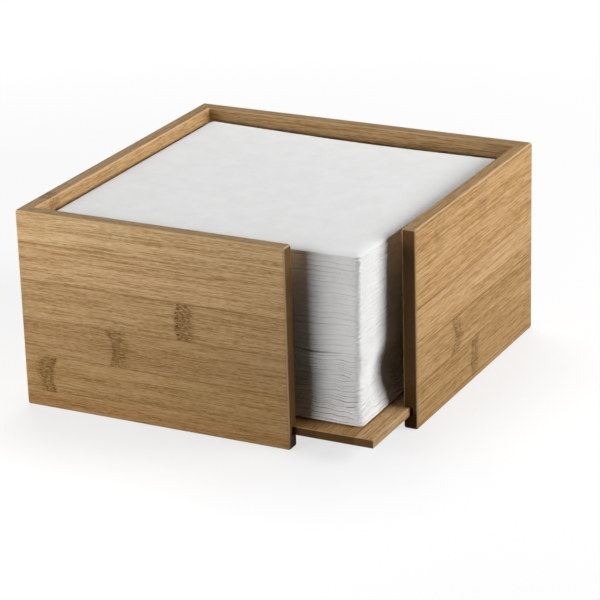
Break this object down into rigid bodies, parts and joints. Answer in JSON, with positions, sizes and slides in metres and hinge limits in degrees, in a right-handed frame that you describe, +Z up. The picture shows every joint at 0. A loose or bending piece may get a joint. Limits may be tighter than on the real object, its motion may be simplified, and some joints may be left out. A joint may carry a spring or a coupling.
{
  "type": "bamboo napkin holder",
  "caption": "Square open-topped bamboo napkin box with one open corner, a base plate set in grooves, and a stack of folded paper napkins that lift out.",
  "frame": {"origin": "middle of the box's underside, on the plane of the walls' lower edges", "axes": "+Z up out of the open top, +X towards the right-hand wall and -Y towards the front wall, so that the open corner is at +X -Y"},
  "size_m": [0.19, 0.19, 0.101],
  "materials": {
    "bamboo_board": "satin",
    "bamboo_plate": "satin",
    "napkin_paper": "matte"
  },
  "bodies": {
    "holder": {"front_wall": "bamboo_board", "right_wall": "bamboo_board", "back_wall": "bamboo_board", "left_wall": "bamboo_board", "base_plate": "bamboo_plate"},
    "lower_pack": {"lower_napkins": "napkin_paper"},
    "upper_pack": {"upper_napkins": "napkin_paper"},
    "loose_napkin": {"top_napkin": "napkin_paper"}
  },
  "joints": [
    {"name": "lower_pack_lift", "type": "slide", "parent": "holder", "child": "lower_pack", "axis": [0, 0, 1], "range_m": [0, 0.095]},
    {"name": "upper_pack_lift", "type": "slide", "parent": "lower_pack", "child": "upper_pack", "axis": [0, 0, 1], "range_m": [0, 0.06]},
    {"name": "loose_napkin_lift", "type": "slide", "parent": "upper_pack", "child": "loose_napkin", "axis": [0, 0, 1], "range_m": [0, 0.03]}
  ]
}
